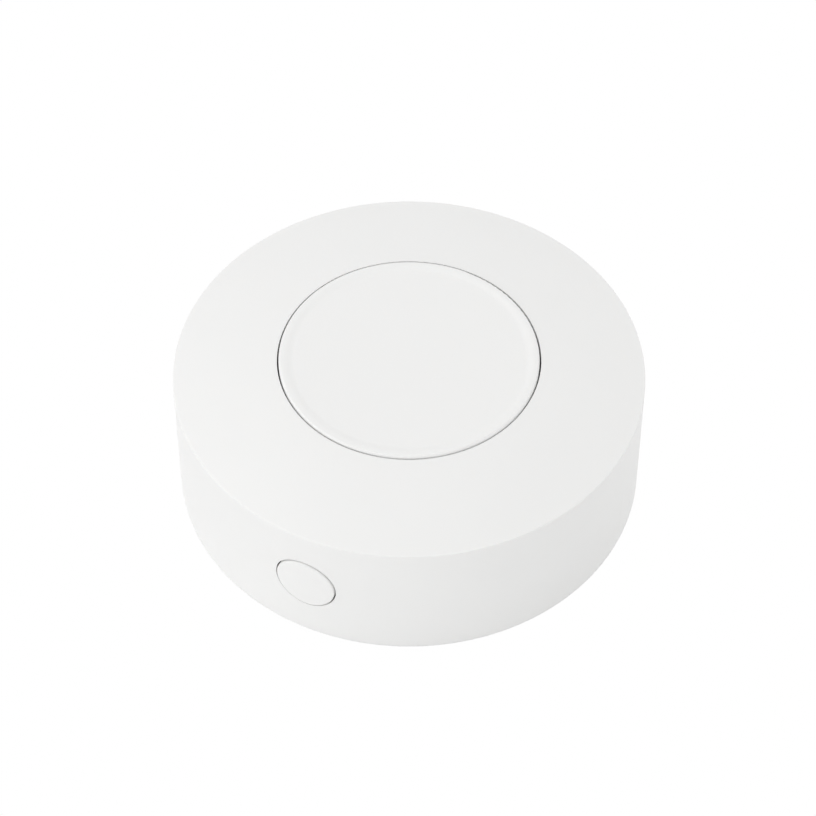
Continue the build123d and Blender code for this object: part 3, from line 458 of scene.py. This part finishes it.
def turned_ring(inner, outer, low, high, edge):
    """A ring with rounded edges: a bevelled section, spun round the case's axis."""
    ring = start(bpy.ops.mesh.primitive_plane_add, size=1)
    bpy.ops.transform.resize(value=(outer - inner, high - low, 1))
    bpy.ops.transform.rotate(value=math.pi / 2, orient_axis="X", center_override=(0, 0, 0))
    bpy.ops.transform.translate(value=((inner + outer) / 2, 0, (low + high) / 2))
    bpy.ops.mesh.bevel(offset=edge, segments=CORNER_STEPS, affect="VERTICES")
    bpy.ops.mesh.select_all(action="SELECT")
    bpy.ops.mesh.delete(type="ONLY_FACE")
    bpy.ops.mesh.select_all(action="SELECT")
    bpy.ops.mesh.spin(steps=RING_STEPS, angle=2 * math.pi, center=(0, 0, 0), axis=(0, 0, 1))
    return close(ring)


low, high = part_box("adhesive_ring")
outer = (high.x - low.x) / 2
inner = min(v.co.xy.length for v in frame["nodes"]["adhesive_ring"].data.vertices)
foam = turned_ring(inner + FOAM_SETBACK, outer - FOAM_SETBACK, LINER_THICKNESS, high.z,
                   FOAM_EDGE)
hand_over(foam, "foam_tape_ring", "case", finishes["foam_tape"])
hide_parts("adhesive_ring")
liner = turned_ring(inner, outer, low.z, LINER_THICKNESS, LINER_THICKNESS / 4)
hand_over(liner, "tape_liner", "case", liner_paper)
print("tape from", round(inner / MM, 2), "to", round(outer / MM, 2), "mm")

# %% [markdown]
# ## The rounded foot
# The lower edge of a moulded case is rounded a little, here by 0.25 mm. Some of the CAD mesh's long
# triangles cut straight across that round, and they look like notches in a low view. A turned ring
# lies over them, most of it buried in the wall. Its round is a little tighter, so it covers them,
# and it stands back by a hair from the wall's face, so it stays inside the case's box.

# %% Foot edge
FOOT_ROUND = 0.2 * MM
FOOT_SETBACK = 0.004 * MM
FOOT_FLAT = 0.01 * MM                  # what keeps the section's rounded corners apart

foot_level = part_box("top_housing")[0].z
foot_outer = CASE_RADIUS - FOOT_SETBACK
foot = turned_ring(foot_outer - 2 * FOOT_ROUND - FOOT_FLAT, foot_outer, foot_level,
                   foot_level + 2 * FOOT_ROUND + FOOT_FLAT, FOOT_ROUND)
hand_over(foot, "foot_edge", "case", finishes["white_case"])
print("foot", round(foot_level / MM, 2), "mm above the floor")

# %% [markdown]
# ## The case screws
# Three 2 mm screws for plastic hold the case together. Each has a pan head, a cross recess and a
# coarse sharp thread. A circle is extruded and resized up the screw's profile, the thread is a
# triangle that a Screw modifier winds round the core, and a Boolean modifier cuts the recess. The
# screw is modelled once and then copied, each copy with a mesh of its own.

# %% Screw profile
SCREW_AXIS_TURNS = (60, 180, 300)      # degrees from +X
HEAD_RADIUS, HEAD_HEIGHT = 1.6 * MM, 1.1 * MM
CORE_RADIUS, CREST_RADIUS = 0.78 * MM, 1.0 * MM
THREAD_PITCH, THREAD_TURNS, THREAD_STEPS = 0.9 * MM, 7, 28
HEAD_EDGE = 0.06 * MM                  # the slope between the head's side and its seat
NECK_WIDTH, NECK_HEIGHT = 0.12 * MM, 0.15 * MM
# The two ends, each as shares of that end's radius and mm from where the screw stops.
HEAD_DOME = ((0.55, 0), (0.8, 0.04), (0.93, 0.14), (0.985, 0.28), (1, 0.45))
TIP = ((1, 0.6), (0.45, 0.06), (0.25, 0))

low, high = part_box("case_screws")
seat = low.z + HEAD_HEIGHT


def grow(rings, sides=40):
    """A turned shape: a circle, extruded and resized from ring to ring of (radius, height)."""
    radius, height = rings[0]
    shape = start(bpy.ops.mesh.primitive_circle_add, vertices=sides, radius=radius,
                  location=(0, 0, 0))
    bpy.ops.transform.translate(value=(0, 0, height))
    for next_radius, next_height in rings[1:]:
        step, share = (0, 0, next_height - height), next_radius / radius
        bpy.ops.mesh.extrude_region_move(TRANSFORM_OT_translate={"value": step})
        bpy.ops.transform.resize(value=(share, share, 1), center_override=(0, 0, next_height))
        radius, height = next_radius, next_height
    bpy.ops.mesh.select_all(action="SELECT")
    bpy.ops.mesh.fill_holes(sides=0)
    return close(shape)


rings = [(share * HEAD_RADIUS, low.z + up * MM) for share, up in HEAD_DOME]
rings += [(HEAD_RADIUS, seat - HEAD_EDGE), (HEAD_RADIUS - HEAD_EDGE, seat),
          (CORE_RADIUS + NECK_WIDTH, seat), (CORE_RADIUS, seat + NECK_HEIGHT)]
rings += [(share * CORE_RADIUS, high.z - down * MM) for share, down in TIP]
screw = grow(rings)
print("screw", round((high.z - low.z) / MM, 2), "mm long,", len(screw.data.polygons), "faces")

# %% Cross recess
RECESS_LENGTH, RECESS_WIDTH, RECESS_DEPTH = 2.0 * MM, 0.5 * MM, 0.6 * MM
RECESS_ROUND = 0.08 * MM


def block(size, middle, edge):
    """A box of that size with its edges rounded."""
    box = start(bpy.ops.mesh.primitive_cube_add, size=1)
    bpy.ops.transform.resize(value=size)
    bpy.ops.transform.translate(value=middle)
    bpy.ops.mesh.bevel(offset=edge, segments=2, affect="EDGES")
    return close(box)


blade_sizes = ((RECESS_LENGTH, RECESS_WIDTH, 2 * RECESS_DEPTH),
               (RECESS_WIDTH, RECESS_LENGTH, 2 * RECESS_DEPTH))
for blade in [block(size, (0, 0, low.z), RECESS_ROUND) for size in blade_sizes]:
    cut = screw.modifiers.new("recess", "BOOLEAN")
    cut.object = blade
    cut.operation = "DIFFERENCE"
    cut.solver = "EXACT"
    bpy.context.view_layer.objects.active = screw
    bpy.ops.object.modifier_apply(modifier=cut.name)
    bpy.data.objects.remove(blade)
print("with its recess", len(screw.data.polygons), "faces")

# %% Wind the thread
THREAD_HALF_DEPTH, THREAD_HALF_WIDTH = 0.13 * MM, 0.22 * MM
THREAD_START = 0.9 * MM                # from the seat of the head

thread = start(bpy.ops.mesh.primitive_circle_add, vertices=3, radius=1)
bpy.ops.transform.resize(value=(THREAD_HALF_DEPTH, THREAD_HALF_WIDTH, 1))
bpy.ops.transform.rotate(value=math.pi / 2, orient_axis="X", center_override=(0, 0, 0))
bpy.ops.transform.rotate(value=math.pi / 2, orient_axis="Y", center_override=(0, 0, 0))
bpy.ops.object.mode_set(mode="OBJECT")
reach = max(v.co.x for v in thread.data.vertices)
bpy.ops.object.mode_set(mode="EDIT")
bpy.ops.transform.translate(value=(CREST_RADIUS - reach, 0, seat + THREAD_START))
bpy.ops.object.mode_set(mode="OBJECT")
winding = thread.modifiers.new("winding", "SCREW")
winding.axis = "Z"
winding.screw_offset = THREAD_PITCH
winding.iterations = THREAD_TURNS
winding.steps = winding.render_steps = THREAD_STEPS
bpy.ops.object.modifier_apply(modifier=winding.name)
bpy.ops.object.mode_set(mode="EDIT")
bpy.ops.mesh.select_all(action="SELECT")
bpy.ops.mesh.fill_holes(sides=0)
close(thread)
screw = join([screw, thread], "screw")
print("thread of", THREAD_TURNS, "turns,", len(screw.data.polygons), "faces on the screw")

# %% Copy the screw
screw_circle = abs(low.x) - HEAD_RADIUS
screws = []
for turn in SCREW_AXIS_TURNS:
    copy = screw.copy()
    copy.data = screw.data.copy()
    bpy.context.scene.collection.objects.link(copy)
    copy.location = direction(math.radians(turn + 90), 0) * screw_circle
    screws.append(copy)
bpy.data.objects.remove(screw)
screws = hand_over(join(screws, "screws"), "pan_head_screws", "case", finishes["steel_screw"])
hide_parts("case_screws")
print("screws on a circle of", round(screw_circle / MM, 2), "mm")

# %% [markdown]
# ## The snap dome
# Under the main switch's stem lies a disc of spring steel, pressed into a shallow dome with a
# dimple in its middle. It snaps through when the button is pressed. Its rim rests on the switch's
# floor, and its top lies just below the stem. Its section runs down the inside to the rim and back
# up the outside, so the function that turned the screw makes it too.

# %% Snap dome
DOME_THICKNESS, DIMPLE_RADIUS, DIMPLE_DEPTH = 0.08 * MM, 0.45 * MM, 0.04 * MM
DOME_FOOT = 2.2 * DOME_THICKNESS       # width of the flat rim that rests on the floor
DOME_RINGS = (0.03, 0.08, 0.13, 0.19, 0.3, 0.45, 0.6, 0.75, 0.88)      # shares of its radius
DOME_SIDES = 64

low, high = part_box("main_switch_dome")
dome_radius, dome_rise = (high.x - low.x) / 2, high.z - low.z
arc = (dome_radius ** 2 + dome_rise ** 2) / (2 * dome_rise)


def dome_level(radius):
    """Height of the dome's outside above the switch's floor, with the dimple in its middle."""
    dimple = DIMPLE_DEPTH * max(0, 1 - (radius / DIMPLE_RADIUS) ** 2)
    return math.sqrt(arc ** 2 - radius ** 2) - arc + dome_rise - dimple


radii = [dome_radius * share for share in DOME_RINGS]
inside = [(radius, low.z + max(dome_level(radius) - DOME_THICKNESS, 0)) for radius in radii]
rim = [(dome_radius - DOME_FOOT, low.z), (dome_radius, low.z),
       (dome_radius, low.z + DOME_THICKNESS / 2)]
outside = [(radius, low.z + dome_level(radius)) for radius in reversed(radii)]
dome = hand_over(grow(inside + rim + outside, DOME_SIDES), "snap_dome", "case",
                 finishes["spring_steel"])
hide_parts("main_switch_dome")
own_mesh(dome)

# %% [markdown]
# ## Details on the board
# CAD gives each small part as a block. On a real board a chip has tinned end caps, it sits on
# tinned pads, and the module is soldered by plated half holes along its edges. Each part's place is
# read from its own node: a copy of the mesh is merged and split into loose parts, and their boxes
# say where caps and pads go.

# %% Boxes of loose parts
def loose_boxes(node):
    """The lowest and highest corner of each loose part of a node."""
    copy = frame["nodes"][node].copy()
    copy.data = copy.data.copy()
    copy.parent = None
    copy.hide_render = copy.hide_viewport = False
    bpy.context.scene.collection.objects.link(copy)
    pick(copy)
    bpy.ops.object.mode_set(mode="EDIT")
    bpy.ops.mesh.select_all(action="SELECT")
    bpy.ops.mesh.remove_doubles(threshold=MERGE_DISTANCE)
    bpy.ops.mesh.separate(type="LOOSE")
    bpy.ops.object.mode_set(mode="OBJECT")
    boxes = []
    for part in list(bpy.context.selected_objects):
        points = [v.co for v in part.data.vertices]
        boxes.append((Vector([min(p[i] for p in points) for i in range(3)]),
                      Vector([max(p[i] for p in points) for i in range(3)])))
        bpy.data.objects.remove(part)
    return sorted(boxes, key=lambda corners: tuple(round(v, 6) for v in corners[0]))


chips = loose_boxes("chip_capacitors") + loose_boxes("chip_resistors")
print(len(chips), "chips")

# %% Chip end caps and pads
CAP_LENGTH, CAP_LIFT, CAP_ROUND = 0.32 * MM, 0.02 * MM, 0.05 * MM
PAD_REACH, PAD_THICKNESS, PAD_ROUND = 0.35 * MM, 0.03 * MM, 0.008 * MM
PAD_MARGIN = 0.2 * MM                  # how much wider than its chip a pad is
board_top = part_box("main_board")[1].z

caps, pads = [], []
for low, high in chips:
    size, middle = high - low, (low + high) / 2
    along = 0 if size.x > size.y else 1
    for side in (-1, 1):
        cap_size = size + Vector((2, 2, 1)) * CAP_LIFT
        cap_size[along] = CAP_LENGTH + CAP_LIFT
        place = middle + Vector((0, 0, CAP_LIFT / 2))
        place[along] += side * (size[along] - CAP_LENGTH + CAP_LIFT) / 2
        caps.append(block(cap_size, place, CAP_ROUND))
        pad_size = Vector((size.x + PAD_MARGIN, size.y + PAD_MARGIN, PAD_THICKNESS))
        pad_size[along] = CAP_LENGTH + PAD_REACH
        place = Vector((middle.x, middle.y, board_top + PAD_THICKNESS / 2))
        place[along] += side * (size[along] + PAD_REACH - CAP_LENGTH) / 2
        pads.append(block(pad_size, place, PAD_ROUND))
hand_over(join(caps, "caps"), "chip_end_caps", "case", finishes["tinned_steel"])
print(len(caps), "end caps,", len(pads), "pads")

# %% Pads of the switches
TERMINAL_LENGTH = 1.2 * MM             # the longest part of a terminal that is soldered
TERMINAL_MARGIN = 0.3 * MM
TERMINAL_RISE = 0.05 * MM              # a terminal that stands less high has no pad on this side

for node in ("main_switch_terminals", "side_switch_terminals"):
    for low, high in loose_boxes(node):
        if high.z - board_top > TERMINAL_RISE:
            size, middle = high - low, (low + high) / 2
            pad_size = (min(size.x, TERMINAL_LENGTH) + TERMINAL_MARGIN,
                        min(size.y, TERMINAL_LENGTH) + TERMINAL_MARGIN, PAD_THICKNESS)
            place = Vector((middle.x, middle.y, board_top + PAD_THICKNESS / 2))
            place.y += math.copysign(max(0, (size.y - TERMINAL_LENGTH) / 2), middle.y)
            pads.append(block(pad_size, place, PAD_ROUND))
hand_over(join(pads, "pads"), "solder_pads", "case", finishes["tinned_steel"])
print(len(pads), "pads in all")

# %% Plated half holes of the radio module
HALF_HOLE_PITCH, HALF_HOLE_COUNT = 1.27 * MM, 8
HALF_HOLE_START = 1.0 * MM             # from the module's edge to the middle of the first one
HALF_HOLE_LENGTH, HALF_HOLE_WIDTH = 0.9 * MM, 0.7 * MM
HALF_HOLE_LIFT, HALF_HOLE_ROUND = 0.03 * MM, 0.02 * MM

low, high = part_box("radio_module_board")
size = (HALF_HOLE_LENGTH, HALF_HOLE_WIDTH, high.z - low.z + HALF_HOLE_LIFT)
half_holes = []
for x in (low.x, high.x):
    inwards = math.copysign(HALF_HOLE_LENGTH / 2 - HALF_HOLE_LIFT, (low.x + high.x) / 2 - x)
    for step in range(HALF_HOLE_COUNT):
        place = (x + inwards, low.y + HALF_HOLE_START + step * HALF_HOLE_PITCH,
                 (low.z + high.z + HALF_HOLE_LIFT) / 2)
        half_holes.append(block(size, place, HALF_HOLE_ROUND))
hand_over(join(half_holes, "half_holes"), "module_half_holes", "case", finishes["antenna_gold"])
print(len(half_holes), "half holes")

# %% [markdown]
# Copper tracks join the parts. They are 0.035 mm of copper under the mask, so they show as low,
# lighter ridges. Each is drawn as a curve with 45 degree corners, as a board designer draws it,
# given a round section, and then pressed flat.

# %% Copper tracks
TRACK_WIDTH, TRACK_HEIGHT = 0.3 * MM, 0.035 * MM
TRACKS = [                             # corners in mm, seen from above, service button below
    [(-5.9, -2.6), (-4.9, -2.6), (-3.9, -3.6), (-2.6, -3.6)],
    [(-5.9, 0), (-4.6, 0), (-3.6, 1), (-3.6, 2.6), (-2.6, 3.6)],
    [(-5.9, 2.6), (-5.2, 2.6), (-3.2, 4.6), (2.6, 4.6), (3.6, 3.6), (3.6, 1.0), (4.8, -0.2),
     (6.0, -0.9)],
    [(-7.4, 2.6), (-8.6, 2.6), (-9.9, 3.9), (-9.9, 4.3)],
    [(-7.4, 0), (-8.8, 0), (-10.8, 2), (-12.2, 2), (-12.6, 2.4), (-12.6, 4.3)],
    [(-7.4, -2.6), (-9.2, -2.6), (-10.4, -1.4), (-12.2, -1.4)],
    [(-13.6, -1.4), (-14.8, -1.4), (-15.6, -2.2), (-15.6, -3.2), (-14.8, -4), (-13.6, -4)],
    [(-12.2, -4.0), (-11.2, -4.0), (-10.0, -5.2), (-10.0, -7.4)],
    [(-9.1, -9.6), (-9.1, -10.8), (-7.4, -12.5), (-5.6, -12.5)],
    [(-4.1, -12.5), (-2.6, -12.5), (-1.9, -13.2), (-1.9, -14.6)],
    [(2.4, -3.7), (4.6, -3.7), (5.4, -4.5), (6.0, -4.5)],
    [(2.4, -4.4), (2.4, -6.0), (4.2, -7.8), (4.2, -11.4), (5.3, -12.5)],
    [(6.9, -12.5), (9.4, -12.5), (12.6, -9.3), (12.6, -7.0)],
    [(1.9, -14.4), (1.9, -12.4), (0.8, -11.3), (0.8, -8.6)],
    [(-4.9, 12.3), (2.0, 12.3), (4.4, 9.9), (4.4, 2.9), (6.0, 1.6)],
    [(-6.4, 12.3), (-8.4, 12.3), (-11.3, 9.4), (-11.3, 6.8)],
    [(16.0, -3.5), (16.8, -3.5), (17.6, -4.3), (17.6, -5.6)],
    [(16.0, 1.6), (16.8, 1.6), (17.8, 2.6), (17.8, 4.6)],
    [(-3.6, 14.2), (-2.5, 15.3), (4.0, 15.3), (9.0, 10.3), (9.0, 9.2)],
    [(-10.6, -9.0), (-12.2, -9.0), (-13.8, -10.6), (-13.8, -12.2)],
]
copper = bpy.data.curves.new("tracks", "CURVE")
copper.dimensions = "3D"
copper.bevel_depth = TRACK_WIDTH / 2
copper.bevel_resolution = 2
copper.use_fill_caps = True
for corners in TRACKS:
    line = copper.splines.new("POLY")
    line.points.add(len(corners) - 1)
    for point, (x, y) in zip(line.points, corners):
        point.co = (x * MM, y * MM, board_top, 1)
tracks = bpy.data.objects.new("tracks", copper)
bpy.context.scene.collection.objects.link(tracks)
pick(tracks)
bpy.ops.object.convert(target="MESH")
tracks = bpy.context.object
bpy.ops.object.mode_set(mode="EDIT")
bpy.ops.mesh.select_all(action="SELECT")
bpy.ops.transform.resize(value=(1, 1, 2 * TRACK_HEIGHT / TRACK_WIDTH),
                         center_override=(0, 0, board_top))
close(tracks)
hand_over(tracks, "copper_tracks", "case", track_mask)
print(len(TRACKS), "tracks of", round(TRACK_WIDTH / MM, 2), "mm")

# %% [markdown]
# Vias are plated holes. Those along the board's rim tie its two copper sides together, and six more
# take a track to the other side. A white print frames each larger part. Both are a flat ring: a
# face is inset, its middle is deleted, and the rest is extruded by the thickness of the plating or
# the ink.

# %% Vias
def flat_ring(add, reach, middle, width, thickness, **settings):
    """A flat frame or ring: a primitive's face, inset, opened and extruded."""
    ring = start(add, **settings)
    bpy.ops.transform.resize(value=(*reach, 1))
    bpy.ops.transform.translate(value=middle)
    bpy.ops.mesh.select_mode(type="FACE")
    bpy.ops.mesh.inset(thickness=width)
    bpy.ops.mesh.delete(type="FACE")
    bpy.ops.mesh.select_all(action="SELECT")
    bpy.ops.mesh.extrude_region_move(TRANSFORM_OT_translate={"value": (0, 0, thickness)})
    bpy.ops.mesh.select_mode(type="VERT")
    return close(ring)


VIA_CIRCLE, VIA_COUNT = 19.55 * MM, 36
VIA_RADIUS, VIA_RING, VIA_PLATING, VIA_SIDES = 0.32 * MM, 0.16 * MM, 0.05 * MM, 14
TRACK_ENDS = [(-13.8, -12.2), (0.8, -8.6), (17.6, -5.6), (17.8, 4.6), (-3.6, 14.2), (9.0, 9.2)]

flat_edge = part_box("main_board")[0].y
places = [direction(2 * math.pi * step / VIA_COUNT, 0) * VIA_CIRCLE for step in range(VIA_COUNT)]
places = [place for place in places if place.y - VIA_RADIUS > flat_edge]
places += [Vector((x, y, 0)) * MM for x, y in TRACK_ENDS]
vias = [flat_ring(bpy.ops.mesh.primitive_circle_add, (VIA_RADIUS, VIA_RADIUS),
                  (place.x, place.y, board_top), VIA_RING, VIA_PLATING,
                  vertices=VIA_SIDES, radius=1, fill_type="NGON") for place in places]
hand_over(join(vias, "vias"), "board_vias", "case", finishes["antenna_gold"])
print(len(vias), "vias")

# %% Printed frames
FRAME_MARGIN, FRAME_LINE, INK_THICKNESS = 0.35 * MM, 0.15 * MM, 0.02 * MM
white_print = moulded("ink_white_screen_print", "#E6E7E2", "#DEDFDA", 0.6, 0.004)

frames = []
for node in ("main_switch_body", "bulk_capacitor", "radio_module_board", "status_led"):
    low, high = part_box(node)
    size, middle = high - low, (low + high) / 2
    frames.append(flat_ring(bpy.ops.mesh.primitive_plane_add,
                            (size.x + 2 * FRAME_MARGIN, size.y + 2 * FRAME_MARGIN),
                            (middle.x, middle.y, board_top), FRAME_LINE, INK_THICKNESS, size=1))
hand_over(join(frames, "frames"), "printed_frames", "case", white_print)
print(len(frames), "frames")

# %% [markdown]
# ## Floor, lamps and world
# The object stands on a plain white floor. A camera, gloss or glass ray sees the floor and the
# world as pure white, and every other ray meets a matt floor that keeps the object's shadow. The
# light is soft and nearly even. Two or three strong lamps could give it, but their glare would turn
# the top white in views from the far side. So seven broad, weak lamps stand round the object: four
# at the left, the brighter side of the picture, and three at the right, one of them low behind,
# which lights the right end of the wall. White plastic then renders close to its own colour.

# %% Floor
def camera_or_gloss(tree):
    """A factor of 1 for the rays that should see a white background."""
    path = add_node(tree, "ShaderNodeLightPath")
    factor = path.outputs["Is Camera Ray"]
    for ray in ("Is Glossy Ray", "Is Transmission Ray"):
        factor = add_node(tree, "ShaderNodeMath", links={0: factor, 1: path.outputs[ray]},
                          operation="MAXIMUM").outputs[0]
    return factor


FLOOR_SIZE = 4                         # metres

bpy.ops.object.select_all(action="DESELECT")
bpy.ops.mesh.primitive_plane_add(size=FLOOR_SIZE)
floor = bpy.context.object
floor.name = "floor"
floor_paint, tree, shader, _ = new_material(
    "paint_matt_white_floor", Roughness=0.9, **{"Base Color": linear("#F0F0F0")})
white = add_node(tree, "ShaderNodeEmission", {"Strength": 1.0})
shown = add_node(tree, "ShaderNodeMixShader",
                 links={0: camera_or_gloss(tree), 1: shader.outputs[0], 2: white.outputs[0]})
tree.links.new(shown.outputs[0], tree.nodes["Material Output"].inputs["Surface"])
floor.data.materials.append(floor_paint)
print("floor", round(floor.dimensions.x, 2), "m wide")

# %% Lamps
LAMP_DISTANCE, LAMP_SIZE = 0.9, 0.6    # metres
LAMPS = {                              # degrees to the right of the camera, degrees up, watts
    "lamp_left": (-76, 30, 0.95),
    "lamp_front_left": (-34, 28, 1.05),
    "lamp_low_left": (-45, 14, 0.42),
    "lamp_back_left": (-130, 56, 1.65),
    "lamp_front_right": (20, 32, 0.45),
    "lamp_low_right": (80, 14, 0.45),
    "lamp_rim_right": (125, 14, 1.15),
}
for name, (turn, rise, power) in LAMPS.items():
    lamp_data = bpy.data.lights.new(name, "AREA")
    lamp_data.shape = "DISK"
    lamp_data.size = LAMP_SIZE
    lamp_data.energy = power
    lamp = bpy.data.objects.new(name, lamp_data)
    bpy.context.scene.collection.objects.link(lamp)
    towards = direction(CAMERA_TURN + math.radians(turn), math.radians(rise))
    lamp.location = towards * LAMP_DISTANCE
    lamp.rotation_euler = towards.to_track_quat("Z", "Y").to_euler()
print(len(LAMPS), "lamps,", round(sum(power for _, _, power in LAMPS.values()), 2), "W in all")

# %% World
WORLD_LIGHT = 0.635
world = bpy.data.worlds.new("world")
bpy.context.scene.world = world
world.use_nodes = True
tree = world.node_tree
tree.nodes.clear()
dim = add_node(tree, "ShaderNodeBackground", {"Color": (1, 1, 1, 1), "Strength": WORLD_LIGHT})
bright = add_node(tree, "ShaderNodeBackground", {"Color": (1, 1, 1, 1), "Strength": 1.0})
shown = add_node(tree, "ShaderNodeMixShader",
                 links={0: camera_or_gloss(tree), 1: dim.outputs[0], 2: bright.outputs[0]})
add_node(tree, "ShaderNodeOutputWorld", links={"Surface": shown.outputs[0]})
bpy.context.scene.view_settings.view_transform = "Standard"
print("world strength", WORLD_LIGHT)
